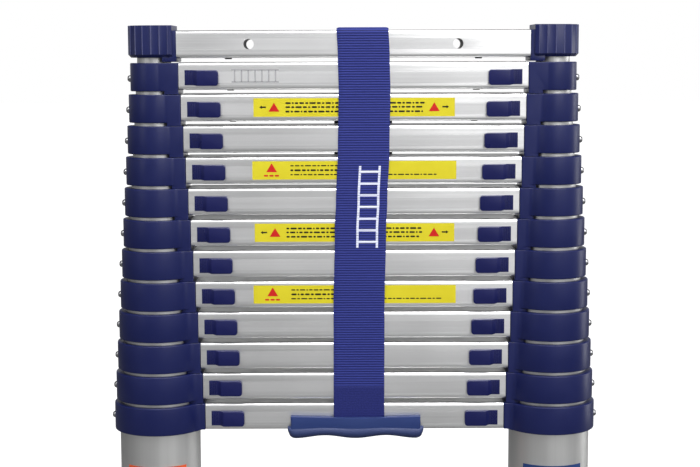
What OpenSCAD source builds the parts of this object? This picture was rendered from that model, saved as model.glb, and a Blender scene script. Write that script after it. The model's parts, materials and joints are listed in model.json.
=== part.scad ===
// Telescoping ladder, closed. Each section is a rung between two tubes, and
// its tubes slide inside those of the section below. +Z is up, the front is
// at -Y, and the origin is on the floor in the middle between the two feet.
// Section 1 is the top one and has the thinnest tubes.

/* [Ladder] */
// Number of sections, with one rung to each
sections = 13; // [4:1:13]
// Distance between the axes of the two columns of tubes
column_spacing = 390; // [360:5:480]
// Height of the closed ladder, from the floor to the cap tops
closed_height = 880; // [800:5:1100]
// Height that each rung takes up in the closed stack
rung_pitch = 30.5; // [30:0.5:38]
// Lift of each section above the one below it
section_travel = 243; // [200:1:270]
// Length of each sliding tube below the top of its rung
tube_length = 400; // [370:5:420]

/* [Tubes] */
// Outer diameter of the thinnest tube
top_tube_d = 33.2; // [28:0.2:36]
// Wall of every tube
tube_wall = 1.4; // [1.2:0.1:2]
// Radial gap between one tube and the next
tube_gap = 0.55; // [0.5:0.05:0.8]
// Thickness of the plug under the end of a sliding tube
plug_base = 4; // [2:0.5:6]
// Length of the plug that goes up into the tube
plug_spigot = 12; // [6:1:14]
// How far the plug's rim stands out past the tube
plug_rim = 0.25; // [0.1:0.05:0.25]

/* [Rungs] */
// Depth of a rung, from front to back
rung_depth = 45; // [42:0.5:50]
// Height of a rung
rung_height = 26.5; // [25:0.5:27.5]
// Wall of the rung extrusion
rung_wall = 1.8; // [1.4:0.1:2.2]
// Radius of the rung's long outer edges
rung_edge_r = 3; // [2:0.5:4]
// Number of anti-slip grooves along the top of a rung
groove_count = 11; // [3:2:11]
// Distance from one groove to the next
groove_pitch = 3.2; // [3:0.1:3.5]
// Width of a groove
groove_width = 1.2; // [0.6:0.1:1.6]
// Depth of a groove
groove_depth = 0.6; // [0.3:0.1:0.9]
// Diameter of the two holes through the top rung
hanging_hole_d = 10; // [6:0.5:12]
// Distance between the two holes through the top rung
hanging_hole_spacing = 202; // [140:2:240]

/* [Collars] */
// Wall of a collar around its tube
collar_wall = 4.9; // [3.5:0.1:5]
// Height of a collar's ring
collar_height = 28; // [25:0.5:28.5]
// Wall of the top cap around the thinnest tube
cap_wall = 8.4; // [6:0.2:10]
// Height of a top cap below the top of its rung
cap_skirt = 26; // [24:0.5:28]
// Height of the top caps above the top rung
cap_rise = 5; // [3:0.5:8]
// Thickness of the flange between the raised cap and the end of the rung
cap_flange = 4; // [3:0.5:6]
// Number of grip flutes around a top cap
flute_count = 18; // [8:1:24]
// Radius of a grip flute
flute_r = 0.9; // [0.5:0.1:1.5]
// Chamfer around the lower rim of a top cap
cap_chamfer = 3; // [1:0.5:4]
// Distance from a tube to the end of its rung
boss_reach = 7.5; // [6:0.5:12]
// Length of the foot that stands on the collar below
foot_reach = 14; // [8:1:20]
// Thickness of the lip over the end of the tube
lip_height = 3; // [2:0.5:5]
// Radial gap between a lip and the tube that slides in it
guide_gap = 0.3; // [0.3:0.05:0.5]
// Gap under each foot in the closed stack
rest_gap = 0.3; // [0.3:0.1:0.6]
// Length of the latch housing inside the rung
housing_length = 58; // [52:1:66]
// Gap between pieces that are fixed to each other
seat_gap = 0.05; // [0.02:0.01:0.1]

/* [Latches] */
// Length of a latch button
button_length = 32.5; // [28:0.5:36]
// Height of a latch button
button_height = 14.5; // [12:0.5:16]
// Distance from the end of the rung to the button
button_inset = 6; // [4:0.5:8]
// Distance of the button below the middle of the rung
button_drop = 1.5; // [0:0.5:2]
// Length of the low thumb step at the button's outer end
step_length = 8.5; // [6:0.5:11]
// How far the thumb step stands out of the rung
step_proud = 1.5; // [0.5:0.25:2.5]
// How far the raised block stands out of the rung
block_proud = 4; // [2.5:0.25:6]
// Length of the slope between the step and the block
slope_length = 3.5; // [2:0.5:6]
// Radius of the block's inner corners
block_corner_r = 3; // [1:0.5:5]
// Travel of the button towards the middle of the rung
latch_travel = 3; // [2:0.25:4]
// Gap between the button and the face of the rung
plate_gap = 0.3; // [0.3:0.05:0.5]
// Length of the stem that carries the button through the rung's wall
stem_length = 20; // [14:0.5:22]
// Height of the stem
stem_height = 9; // [6:0.5:10]
// Distance from the button's outer end to its stem
stem_inset = 6.5; // [5:0.5:8]
// Gap around the stem in its slot
slot_gap = 0.3; // [0.3:0.05:0.5]
// Depth of the slider bar behind the wall of the rung
bar_sink = 3; // [2:0.5:4]
// Height of the slider bar
slider_height = 11; // [9:0.5:12]
// How far the slider bar goes behind the axis of its pin
slider_back = 5; // [4.5:0.25:7]
// Gap around the slider bar in its housing
slider_gap = 0.4; // [0.3:0.05:0.6]
// Diameter of the locking pin
pin_d = 8; // [6:0.5:9]
// Radial gap around the locking pin
pin_gap = 0.3; // [0.3:0.05:0.5]
// Diameter of the latch spring, drawn as a plain sleeve
spring_d = 7; // [5:0.5:9]
// Length of the latch spring when it is fully pressed
spring_length = 9; // [6:0.5:9.5]
// Wall that the latch spring pushes on
spring_wall = 4; // [3:0.5:5]

/* [Screws] */
// Diameter of the dome-head screws in collars and feet
dome_screw_d = 3; // [2:0.5:4]
// Diameter of a dome head
dome_head_d = 6.6; // [5:0.2:7]
// Height of a dome head
dome_head_h = 3.2; // [2:0.2:3.4]
// Depth of the flat that a dome head sits on
dome_seat = 0.3; // [0.3:0.1:0.6]
// Distance of a collar's screw below the middle of its rung
collar_screw_drop = 2.5; // [0:0.5:4]
// Diameter of the screws under a rung
rung_screw_d = 3.5; // [3:0.5:4]
// Diameter of the head under a rung
rung_head_d = 7; // [5:0.5:8]
// Height of the head under a rung
rung_head_h = 1.2; // [0.8:0.1:1.6]
// Distance from the end of the rung to the screw under it
rung_screw_inset = 48.5; // [46:0.5:50]
// Length of the screw above the rung's lower wall
rung_screw_bite = 1.6; // [1:0.1:2]

/* [Feet] */
// Height of a rubber boot
boot_height = 60; // [40:2:80]
// Wall of a rubber boot
boot_wall = 5; // [4:0.5:7]
// Thickness of the boot under the tube
boot_floor = 5; // [3:0.5:8]
// Height of the boot screws above the floor
boot_screw_height = 42; // [25:1:50]

/* [Handle] */
// Length of the carry handle's lower grip
grip_length = 134; // [110:2:150]
// Length of the carry handle's upright walls
handle_wall_length = 128; // [100:2:140]
// Height of the grip below the rung
grip_drop = 8; // [6:0.5:14]
// Height of the grip's bulge, up over the rung's lower edge
grip_rise = 4.5; // [2:0.5:8]
// Height that the upright walls cover on the rung
wall_cover = 14.5; // [10:0.5:20]
// Thickness of the upright walls
handle_wall = 4; // [3:0.5:5]
// How far the grip stands out in front of the upright walls
grip_bulge = 5; // [2:0.5:7]
// Sideways place of the handle
handle_shift = 1; // [-5:0.5:5]
// Distance between the two handle screws
handle_screw_spacing = 90; // [60:2:110]
// Thickness of plastic under the rung
handle_floor = 4; // [3:0.5:6]

/* [Strap] */
// Width of the webbing
strap_width = 50; // [38:1:55]
// Thickness of the webbing
strap_thickness = 2.4; // [1.6:0.1:3]
// Gap between the webbing and the rungs
strap_gap = 0.4; // [0.3:0.1:1]
// Sideways place of the strap at its lower end
strap_shift_low = 4.5; // [0:0.5:12]
// Sideways place of the strap where it leans most
strap_shift_high = 10.5; // [0:0.5:14]
// Sideways place of the strap over the top rung
strap_shift_top = 9; // [0:0.5:14]
// Height of the strap's lower end above the underside of the bottom rung
strap_end_rise = 2; // [1:0.5:8]
// Height of the fastening patch at the strap's lower end
patch_height = 42; // [30:1:60]
// Thickness of the fastening patch
patch_thickness = 0.8; // [0.5:0.1:1]
// Gap between the patch and the handle
handle_gap = 0.8; // [0.5:0.1:1.5]
// Inset of the strap's loop around the buckle from the strap's edges
loop_inset = 1; // [0.5:0.5:3]
// Width of the buckle
buckle_width = 58; // [54:1:66]
// Height of the buckle
buckle_height = 44; // [40:1:50]
// Thickness of the buckle
buckle_thickness = 4; // [3:0.5:5]
// Width of the buckle's side rails
buckle_rail = 3; // [2:0.5:3]
// Height of the buckle's three cross bars
buckle_bar = 8; // [6:0.5:10]
// Depth of the buckle's middle below the top of the ladder
buckle_depth = 112; // [90:2:160]

/* [Hidden] */
$fn = 96;
far = 1000;
bolted = [for (k = [2 : sections]) k];
middle = [for (k = [2 : sections - 1]) k];

// Two-figure number of a section, for the names of its nodes
function tag(k) = str(k < 10 ? "0" : "", k);

function tube_d(k) = top_tube_d + 2 * (k - 1) * (tube_wall + tube_gap);
function tube_inner_d(k) = tube_d(k) - 2 * tube_wall;
function rung_top(k) = closed_height - cap_rise - (k - 1) * rung_pitch;
function rung_middle(k) = rung_top(k) - rung_height / 2;
function rung_bottom(k) = rung_top(k) - rung_height;
function rung_half(k) = column_spacing / 2 - tube_d(k) / 2 - boss_reach;
function tube_top(k) = rung_top(k) - lip_height;
function tube_bottom(k) = k == sections ? boot_floor : rung_top(k) - tube_length;
function collar_r(k) = tube_d(k) / 2 + (k == 1 ? cap_wall : collar_wall);
function pin_height(k) = rung_middle(k) - button_drop;
function collar_screw_height(k) = rung_middle(k) - collar_screw_drop;
function button_outer(k) = rung_half(k) - button_inset;
function button_inner(k) = button_outer(k) - button_length;
function stem_outer(k) = button_outer(k) - stem_inset;
function stem_inner(k) = stem_outer(k) - stem_length;

front = -rung_depth / 2;
button_back = front - plate_gap;
bar_front = front + rung_wall + bar_sink;
cavity_height = rung_height - 2 * rung_wall;
cavity_depth = rung_depth - 2 * rung_wall;
cavity_edge_r = max(rung_edge_r - rung_wall, 0.4);
boot_r = tube_d(sections) / 2 + boot_wall;
strap_face = rung_depth / 2 + strap_gap;
strap_back = strap_face + strap_thickness;
wall_face = strap_back + patch_thickness + handle_gap;
grip_half_depth = wall_face + handle_wall + grip_bulge;
buckle_face = strap_back + strap_gap;
strap_low = rung_bottom(sections) + strap_end_rise;
strap_high = rung_top(1) + strap_gap;
strap_bend = rung_top(3);

// A piece and its mirror image on the left-hand side
module both_sides() {
    children();
    mirror([1, 0, 0]) children();
}

// A box given by its lowest and highest corners
module block(low, high) {
    translate(low) cube(high - low);
}

// A rectangle with round corners, centred
module round_rectangle(width, height, r) {
    square([width - 2 * r, height], center = true);
    square([width, height - 2 * r], center = true);
    for (x = [-1, 1], y = [-1, 1])
        translate([x * (width / 2 - r), y * (height / 2 - r)]) circle(r);
}

// An outline in Y and Z, drawn out along X from one x to another
module along_x(from, to, z) {
    translate([from, 0, z]) rotate([90, 0, 90]) linear_extrude(to - from) children();
}

// A round bar or hole along X
module rod_x(from, to, z, d) {
    translate([from, 0, z]) rotate([0, 90, 0]) cylinder(d = d, h = to - from);
}

// ---- Tubes ----

// One tube of section k, on the right, with its pin and screw holes
module tube(k) {
    bore = pin_d + 2 * pin_gap;
    axis = column_spacing / 2;
    difference() {
        translate([axis, 0, tube_bottom(k)])
            cylinder(d = tube_d(k), h = tube_top(k) - tube_bottom(k));
        translate([axis, 0, tube_bottom(k) - 1])
            cylinder(d = tube_inner_d(k), h = tube_top(k) - tube_bottom(k) + 2);
        if (k > 1) {
            rod_x(axis - tube_d(k), axis, pin_height(k), bore);
            rod_x(axis, axis + tube_d(k), collar_screw_height(k),
                dome_screw_d + 2 * seat_gap);
        }
        if (k < sections)
            rod_x(axis - tube_d(k), axis, pin_height(k + 1) - section_travel, bore);
        if (k == sections)
            rod_x(axis - tube_d(k), axis + tube_d(k), boot_screw_height,
                dome_screw_d + 2 * seat_gap);
    }
}

// The plug that closes and centres the lower end of a sliding tube
module tube_plug(k) {
    translate([column_spacing / 2, 0, tube_bottom(k) - plug_base])
        cylinder(d = tube_d(k) + 2 * plug_rim, h = plug_base);
    translate([column_spacing / 2, 0, tube_bottom(k)])
        cylinder(d = tube_inner_d(k) - 2 * seat_gap, h = plug_spigot);
}

// ---- Rungs ----

// The hollow extrusion of a rung, with anti-slip grooves along its top
module rung_outline() {
    difference() {
        round_rectangle(rung_depth, rung_height, rung_edge_r);
        round_rectangle(cavity_depth, cavity_height, cavity_edge_r);
        for (i = [0 : groove_count - 1])
            translate([(i - (groove_count - 1) / 2) * groove_pitch, rung_height / 2])
                square([groove_width, 2 * groove_depth], center = true);
    }
}

// The rung of section k, with slots for its buttons and holes for its screws
module rung(k) {
    screw_x = rung_half(k) - rung_screw_inset;
    difference() {
        along_x(-rung_half(k), rung_half(k), rung_middle(k)) rung_outline();
        if (k > 1)
            both_sides() block(
                [stem_inner(k) - latch_travel - slot_gap, front - 1,
                    pin_height(k) - stem_height / 2 - slot_gap],
                [stem_outer(k) + slot_gap, front + rung_wall + 1,
                    pin_height(k) + stem_height / 2 + slot_gap]);
        if (k == 1)
            for (side = [-1, 1])
                translate([side * hanging_hole_spacing / 2, rung_depth, rung_middle(k)])
                    rotate([90, 0, 0]) cylinder(d = hanging_hole_d, h = 2 * rung_depth);
        both_sides() translate([screw_x, 0, rung_bottom(k) - 1])
            cylinder(d = rung_screw_d + 2 * seat_gap, h = rung_wall + 2);
        if (k == sections)
            for (side = [-1, 1])
                translate([handle_shift + side * handle_screw_spacing / 2, 0,
                        rung_bottom(k) - 1])
                    cylinder(d = rung_screw_d + 2 * seat_gap, h = rung_wall + 2);
    }
}

// ---- Collars ----

// Part of a collar that reaches from its tube into the end of the rung
module boss_and_housing(k) {
    foot_z = k == sections ? rung_bottom(k) : rung_top(k + 1) + rest_gap;
    boss_end = k == 1 ? rung_half(k) + cap_flange : column_spacing / 2;
    block([rung_half(k), front, rung_bottom(k)], [boss_end, -front, rung_top(k)]);
    block([rung_half(k), front, foot_z],
        [rung_half(k) + foot_reach, -front, rung_bottom(k) + 1]);
    along_x(rung_half(k) - housing_length, rung_half(k) + 1, rung_middle(k))
        round_rectangle(cavity_depth - 2 * seat_gap, cavity_height - 2 * seat_gap,
            cavity_edge_r);
}

// Hole for the screw that comes up through the rung into the housing
module rung_screw_hole(k) {
    translate([rung_half(k) - rung_screw_inset, 0, rung_bottom(k)])
        cylinder(d = rung_screw_d + 2 * seat_gap, h = rung_wall + rung_screw_bite + 0.5);
}

// Room in the housing for the stem, the slider bar, the spring and the pin
module latch_room(k) {
    z = pin_height(k);
    half_stem = stem_height / 2 + slot_gap;
    half_slider = slider_height / 2 + slider_gap;
    block([stem_inner(k) - latch_travel - slot_gap, front - 1, z - half_stem],
        [stem_outer(k) + slot_gap, bar_front, z + half_stem]);
    block([rung_half(k) - housing_length + spring_wall, bar_front - slider_gap,
            z - half_slider],
        [rung_half(k), slider_back + slider_gap, z + half_slider]);
    rod_x(rung_half(k) - 1, column_spacing / 2, z, pin_d + 2 * pin_gap);
}

// The collar of section k on the right-hand side
module collar(k) {
    axis = column_spacing / 2;
    difference() {
        union() {
            translate([axis, 0, rung_top(k) - collar_height])
                cylinder(r = collar_r(k), h = collar_height);
            boss_and_housing(k);
        }
        translate([axis, 0, rung_bottom(k) - rung_pitch])
            cylinder(d = tube_d(k) + 2 * seat_gap,
                h = tube_top(k) - rung_bottom(k) + rung_pitch);
        translate([axis, 0, tube_top(k) - 1])
            cylinder(d = tube_d(k - 1) + 2 * guide_gap, h = lip_height + 2);
        latch_room(k);
        rung_screw_hole(k);
        rod_x(axis, axis + collar_r(k) + 1, collar_screw_height(k),
            dome_screw_d + 2 * seat_gap);
        rod_x(axis + collar_r(k) - dome_seat, axis + collar_r(k) + 1,
            collar_screw_height(k), dome_head_d + 0.4);
    }
}

// Outline of the top cap: half a circle with straight sides towards the rung
module cap_outline(radius) {
    reach = column_spacing / 2 - rung_half(1) - cap_flange;
    circle(radius);
    translate([-reach, -radius]) square([reach, 2 * radius]);
}

// The body of the top cap, chamfered below
module cap_body() {
    low = rung_top(1) - cap_skirt;
    reach = column_spacing / 2 - rung_half(1) - cap_flange;
    intersection() {
        translate([column_spacing / 2, 0, low]) {
            translate([0, 0, cap_chamfer])
                linear_extrude(cap_skirt + cap_rise - cap_chamfer)
                    cap_outline(collar_r(1));
            hull() {
                linear_extrude(0.1) cap_outline(collar_r(1) - cap_chamfer);
                translate([0, 0, cap_chamfer]) linear_extrude(0.1) cap_outline(collar_r(1));
            }
        }
        block([column_spacing / 2 - reach, -collar_r(1), low],
            [column_spacing / 2 + collar_r(1), collar_r(1), rung_top(1) + cap_rise]);
    }
}

// The fluted cap that joins the thinnest tube to the top rung
module top_cap() {
    axis = column_spacing / 2;
    flute_chord = 2 * collar_r(1) * sin(180 / flute_count);
    difference() {
        union() {
            cap_body();
            boss_and_housing(1);
        }
        for (i = [-floor(flute_count / 4) : floor(flute_count / 4)])
            translate([axis, 0, 0]) rotate(360 / flute_count * i)
                translate([collar_r(1) + flute_r / 2, 0, rung_top(1) - cap_skirt - 1])
                    cylinder(r = flute_r, h = cap_skirt + cap_rise + 2);
        for (side = [-1, 1], i = [0.5, 1.5])
            translate([axis - i * flute_chord, side * (collar_r(1) + flute_r / 2),
                    rung_top(1) - cap_skirt - 1])
                cylinder(r = flute_r, h = cap_skirt + cap_rise + 2);
        translate([axis, 0, rung_bottom(1) - rung_pitch])
            cylinder(d = tube_d(1) + 2 * seat_gap,
                h = tube_top(1) - rung_bottom(1) + rung_pitch);
        rung_screw_hole(1);
    }
}

// ---- Screws ----

// A dome-head screw through a wall from the right, with its head's seat at x
module dome_screw(x, z, length) {
    base = 0.6;
    dome_h = dome_head_h - base;
    dome_r = (dome_head_d * dome_head_d / 4 + dome_h * dome_h) / (2 * dome_h);
    rod_x(x - length, x + base, z, dome_screw_d);
    translate([x + seat_gap, 0, z]) rotate([0, 90, 0]) rotate_extrude() intersection() {
        translate([0, dome_head_h - dome_r]) circle(dome_r);
        square([dome_head_d / 2, dome_head_h]);
    }
}

// The screw that holds the collar of section k on its tube
module collar_screw(k) {
    dome_screw(column_spacing / 2 + collar_r(k) - dome_seat, collar_screw_height(k),
        collar_r(k) - dome_seat - tube_inner_d(k) / 2);
}

// The screw up through the rung of section k into the latch housing
module rung_screw(k) {
    translate([rung_half(k) - rung_screw_inset, 0, rung_bottom(k) - rung_head_h])
        cylinder(d = rung_head_d, h = rung_head_h);
    translate([rung_half(k) - rung_screw_inset, 0, rung_bottom(k) - rung_head_h / 2])
        cylinder(d = rung_screw_d, h = rung_head_h / 2 + rung_wall + rung_screw_bite);
}

// ---- Latches ----

// Button, stem, slider bar, locking pin and spring of section k, on the right
module latch(k) {
    z = pin_height(k);
    outer = button_outer(k);
    inner = button_inner(k);
    bar_end = rung_half(k) - 2;
    tip = column_spacing / 2 - tube_d(k - 1) / 2 - pin_gap;
    step = front - step_proud;
    top = front - block_proud;
    intersection() {
        translate([0, 0, z - button_height / 2]) linear_extrude(button_height)
            polygon([
                [outer, button_back],
                [outer, step],
                [outer - step_length, step],
                [outer - step_length - slope_length, top],
                [inner, top],
                [inner, button_back]
            ]);
        translate([(outer + inner) / 2, 0, z]) rotate([90, 0, 0])
            linear_extrude(rung_depth + 2 * block_proud, center = true) {
                round_rectangle(button_length, button_height, block_corner_r);
                translate([button_length / 4, 0])
                    square([button_length / 2, button_height], center = true);
            }
    }
    block([stem_inner(k), step + 0.5, z - stem_height / 2],
        [stem_outer(k), bar_front + 1, z + stem_height / 2]);
    block([inner, bar_front, z - slider_height / 2],
        [bar_end, slider_back, z + slider_height / 2]);
    rod_x(bar_end - 1, tip, z, pin_d);
    rod_x(inner - spring_length, inner + 1, z, spring_d);
}

// ---- Feet ----

// The rubber boot on the right-hand outer tube
module boot() {
    axis = column_spacing / 2;
    difference() {
        translate([axis, 0, 0]) cylinder(r = boot_r, h = boot_height);
        translate([axis, 0, boot_floor])
            cylinder(d = tube_d(sections) + 2 * seat_gap, h = boot_height);
        for (side = [0, 180])
            translate([axis, 0, 0]) rotate(side) {
                rod_x(0, boot_r + 1, boot_screw_height, dome_screw_d + 2 * seat_gap);
                rod_x(boot_r - dome_seat, boot_r + 1, boot_screw_height, dome_head_d + 0.4);
            }
    }
}

// The two screws that hold a boot
module boot_screws() {
    for (side = [0, 180])
        translate([column_spacing / 2, 0, 0]) rotate(side)
            dome_screw(boot_r - dome_seat, boot_screw_height,
                boot_r - dome_seat - tube_inner_d(sections) / 2);
}

// ---- Carry handle ----

// A cupped grip under the bottom rung, with a wall up its front and its back
module handle_body() {
    z = rung_bottom(sections);
    lower = z - grip_drop;
    upper = z + grip_rise;
    wall_out = wall_face + handle_wall;
    grip_r = (upper - lower) / 2;
    translate([handle_shift, 0, 0]) difference() {
        union() {
            along_x(-grip_length / 2, grip_length / 2, (upper + lower) / 2)
                round_rectangle(2 * grip_half_depth, upper - lower, grip_r - 0.01);
            block([-handle_wall_length / 2, -wall_out, z],
                [handle_wall_length / 2, wall_out, z + wall_cover]);
        }
        block([-grip_length, -wall_face, z], [grip_length, wall_face, z + far]);
        for (side = [-1, 1])
            translate([side * handle_screw_spacing / 2, 0, z - far]) {
                cylinder(d = rung_screw_d + 2 * seat_gap, h = far + 1);
                cylinder(d = rung_head_d + 1, h = far - handle_floor);
            }
    }
}

// The screws up through the handle into the bottom rung
module handle_screw_pair() {
    z = rung_bottom(sections);
    for (side = [-1, 1])
        translate([handle_shift + side * handle_screw_spacing / 2, 0, z - handle_floor]) {
            translate([0, 0, -rung_head_h - 1]) cylinder(d = rung_head_d, h = rung_head_h + 1);
            translate([0, 0, -1]) cylinder(d = rung_screw_d,
                h = 1 + handle_floor + rung_wall + rung_screw_bite);
        }
}

// ---- Strap ----

// Outline of a strap run in X and Z between two heights
function strap_shift(z) =
    z <= strap_bend
        ? strap_shift_low + (strap_shift_high - strap_shift_low)
            * (z - strap_low) / (strap_bend - strap_low)
        : strap_shift_high + (strap_shift_top - strap_shift_high)
            * (z - strap_bend) / (strap_high - strap_bend);

module strap_run(y_low, y_high, z_low, z_high) {
    heights = [z_low, if (z_low < strap_bend && z_high > strap_bend) strap_bend, z_high];
    left = [for (z = heights) [strap_shift(z) - strap_width / 2, z]];
    right = [for (i = [len(heights) - 1 : -1 : 0])
        [strap_shift(heights[i]) + strap_width / 2, heights[i]]];
    translate([0, y_high, 0]) rotate([90, 0, 0]) linear_extrude(y_high - y_low)
        polygon(concat(left, right));
}

// The webbing: down the front, over the top rung, down the back, and once
// around the middle bar of the buckle
module webbing() {
    middle_z = closed_height - buckle_depth;
    window = (buckle_height - 3 * buckle_bar) / 2;
    loop_out = buckle_face + buckle_thickness + strap_gap;
    loop_z = (buckle_bar + window) / 2;
    loop_half = strap_width / 2 - loop_inset;
    strap_run(-strap_back, -strap_face, strap_low, strap_high);
    strap_run(strap_face, strap_back, strap_low, strap_high);
    block([strap_shift_top - strap_width / 2, -strap_back, strap_high],
        [strap_shift_top + strap_width / 2, strap_back, strap_high + strap_thickness]);
    translate([strap_shift(middle_z), 0, middle_z]) {
        for (side = [-1, 1])
            translate([0, 0, side * loop_z]) block(
                [-loop_half, strap_back - strap_thickness / 2, -strap_thickness / 2],
                [loop_half, loop_out + strap_thickness, strap_thickness / 2]);
        block([-loop_half, loop_out, -loop_z],
            [loop_half, loop_out + strap_thickness, loop_z]);
    }
}

// The fastening patch on the strap's lower end, front and back
module patch() {
    for (y = [-strap_back - patch_thickness, strap_back])
        strap_run(y, y + patch_thickness, strap_low, strap_low + patch_height);
}

// The three-bar buckle on the back run
module buckle() {
    middle_z = closed_height - buckle_depth;
    window = (buckle_height - 3 * buckle_bar) / 2;
    translate([strap_shift(middle_z), buckle_face + buckle_thickness, middle_z])
        rotate([90, 0, 0]) linear_extrude(buckle_thickness) difference() {
            round_rectangle(buckle_width, buckle_height, 4);
            for (side = [-1, 1])
                translate([0, side * (buckle_bar + window) / 2])
                    square([buckle_width - 2 * buckle_rail, window], center = true);
        }
}

// ---- Nodes ----

module rung_01() {
    color("silver") rung(1);
}

module tubes_01() {
    color("silver") both_sides() tube(1);
}

module top_caps() {
    color("midnightblue") both_sides() top_cap();
    color("dimgray") both_sides() rung_screw(1);
}

module tube_plugs_01() {
    color("dimgray") both_sides() tube_plug(1);
}

module rung_and_tubes(k) {
    color("silver") rung(k);
    color("silver") both_sides() tube(k);
}

module collars(k) {
    color("midnightblue") both_sides() collar(k);
    color("gainsboro") both_sides() collar_screw(k);
    color("dimgray") both_sides() rung_screw(k);
    if (k < sections) color("dimgray") both_sides() tube_plug(k);
}

module latch_left(k) {
    color("navy") mirror([1, 0, 0]) latch(k);
}

module latch_right(k) {
    color("navy") latch(k);
}

module bottom_rung() {
    color("silver") rung(sections);
}

module outer_tubes() {
    color("silver") both_sides() tube(sections);
}

module rubber_feet() {
    color("dimgray") both_sides() boot();
}

module foot_screws() {
    color("gainsboro") both_sides() boot_screws();
}

module carry_handle() {
    color("royalblue") handle_body();
}

module handle_screws() {
    color("dimgray") handle_screw_pair();
}

module strap_webbing() {
    color("mediumblue") webbing();
}

module strap_patch() {
    color("darkblue") patch();
}

module strap_buckle() {
    color("black") buckle();
}

rung_01();
tubes_01();
top_caps();
tube_plugs_01();
for (k = middle) {
    rung_and_tubes(k);
    collars(k);
}
for (k = bolted) {
    latch_left(k);
    latch_right(k);
}
bottom_rung();
outer_tubes();
collars(sections);  // bottom_collars
rubber_feet();
foot_screws();
carry_handle();
handle_screws();
strap_webbing();
strap_patch();
strap_buckle();
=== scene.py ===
import json
import math

import bmesh
import bpy
from mathutils import Matrix, Vector


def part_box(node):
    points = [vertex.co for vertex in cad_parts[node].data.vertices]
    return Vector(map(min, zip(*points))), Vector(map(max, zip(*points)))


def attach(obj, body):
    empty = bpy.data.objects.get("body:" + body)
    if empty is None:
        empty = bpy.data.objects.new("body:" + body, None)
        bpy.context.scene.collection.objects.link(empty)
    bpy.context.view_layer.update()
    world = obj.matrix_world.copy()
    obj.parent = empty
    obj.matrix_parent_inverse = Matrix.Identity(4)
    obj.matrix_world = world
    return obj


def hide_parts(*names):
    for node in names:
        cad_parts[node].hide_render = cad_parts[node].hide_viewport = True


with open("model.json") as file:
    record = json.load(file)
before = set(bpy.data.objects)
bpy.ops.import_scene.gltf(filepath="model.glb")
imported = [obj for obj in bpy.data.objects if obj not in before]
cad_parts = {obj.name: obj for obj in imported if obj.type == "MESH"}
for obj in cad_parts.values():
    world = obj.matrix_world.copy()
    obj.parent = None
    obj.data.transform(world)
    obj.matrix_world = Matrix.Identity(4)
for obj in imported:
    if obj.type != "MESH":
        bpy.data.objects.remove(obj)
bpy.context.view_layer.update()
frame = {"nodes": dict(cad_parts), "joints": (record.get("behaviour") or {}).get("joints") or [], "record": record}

# ---------------------------------------------------------------- sizes, in metres
# The right-hand side has the higher x. Section 1 is the top one.
SECTIONS = 13
MM = 0.001
TINY = 0.01 * MM

top_low, top_high = (Vector(corner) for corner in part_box("rung_01"))
bottom_low, bottom_high = (Vector(corner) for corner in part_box("bottom_rung"))
thin_low, thin_high = (Vector(corner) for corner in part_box("tubes_01"))
outer_low, outer_high = (Vector(corner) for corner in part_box("outer_tubes"))

RUNG_HEIGHT = top_high.z - top_low.z
FRONT = top_low.y
PITCH = (top_high.z - bottom_high.z) / (SECTIONS - 1)
AXIS = thin_high.x - thin_high.y
TOP_TUBE_R = thin_high.y
TUBE_STEP = (outer_high.y - thin_high.y) / (SECTIONS - 1)
BOSS_REACH = AXIS - TOP_TUBE_R - top_high.x
COLLAR_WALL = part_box("bottom_collars")[1][1] - outer_high.y
CAP_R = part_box("top_caps")[1][1]
CAP_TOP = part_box("top_caps")[1][2]
BUTTON_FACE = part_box("latch_right_02")[0][1]
PIN_DROP = top_high.z - PITCH - RUNG_HEIGHT / 2 - sum(
    corner[2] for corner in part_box("latch_right_02")) / 2

RUNG_WALL = 1.8 * MM
RUNG_EDGE = 3 * MM
TUBE_WALL = 1.4 * MM
COLLAR_HEIGHT = 28 * MM
CAP_SKIRT = 26 * MM
LIP_HEIGHT = top_high.z - thin_high.z
GUIDE_GAP = 0.3 * MM
REST_GAP = 0.3 * MM
FOOT_REACH = 14 * MM
FLUTES = 18
CAP_FLANGE = 4 * MM
SCREW_DROP = 2.5 * MM
BOSS_FILLET = 8 * MM
BOSS_GAP = 0.4 * MM
BUTTON_INSET = 6 * MM
BUTTON_LENGTH = 32.5 * MM
BUTTON_HEIGHT = 14.5 * MM
STEM_INSET = 6.5 * MM
STEM_LENGTH = 20 * MM
STEM_HEIGHT = 9 * MM
BUTTON_TRAVEL = 3 * MM
LOCK_HOLE_R = 4.3 * MM
RUNG_SCREW_INSET = 48.5 * MM
HANGING_HOLE_X = frame["record"]["mounts"][1]["pos_m"][0]
HANGING_HOLE_R = frame["record"]["mounts"][1]["dims"]["r_mm"] * MM
TRAVEL = frame["joints"][0]["range_m"][1]


def tag(k):
    return f"{k:02d}"


def rung_top(k):
    return top_high.z - (k - 1) * PITCH


def rung_middle(k):
    return rung_top(k) - RUNG_HEIGHT / 2


def tube_r(k):
    return TOP_TUBE_R + (k - 1) * TUBE_STEP


def collar_r(k):
    return tube_r(k) + COLLAR_WALL if k > 1 else CAP_R


def rung_end(k):
    return AXIS - tube_r(k) - BOSS_REACH


def pin_height(k):
    return rung_middle(k) - PIN_DROP


# ---------------------------------------------------------------- modelling steps

def only(obj):
    """Makes obj the one selected and active object."""
    bpy.ops.object.select_all(action="DESELECT")
    obj.select_set(True)
    bpy.context.view_layer.objects.active = obj


def settle(obj):
    """Puts an object's place, turn and size into its mesh."""
    only(obj)
    bpy.ops.object.transform_apply(location=True, rotation=True, scale=True)


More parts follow.
